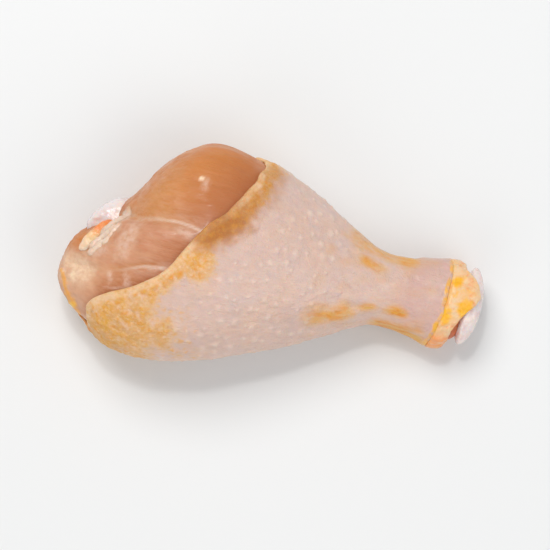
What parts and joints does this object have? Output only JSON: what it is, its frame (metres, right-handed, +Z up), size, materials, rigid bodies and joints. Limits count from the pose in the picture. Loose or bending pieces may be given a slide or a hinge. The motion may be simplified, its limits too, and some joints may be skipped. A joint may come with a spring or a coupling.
{
  "type": "raw chicken drumstick",
  "caption": "Raw chicken drumstick on its side, with pale skin drawn over pink leg meat that stays bare at the thick end, and white cartilage at the knee and hock.",
  "frame": {"origin": "middle of the bounding box in plan, on the table", "axes": "+X along the leg from the thick end to the hock, +Y across it, +Z up"},
  "size_m": [0.128, 0.0684, 0.0399],
  "materials": {
    "skin": "moist, pale pink and cream, with yellow fat under it near the edge",
    "meat": "moist and smooth, tan to pink",
    "cartilage": "moist, bluish white",
    "fat": "moist, creamy yellow"
  },
  "bodies": {
    "root": {"skin": "skin", "meat": "meat", "shin_bone": "cartilage", "hock_cuff": "fat", "knee_fat": "fat"}
  },
  "joints": []
}
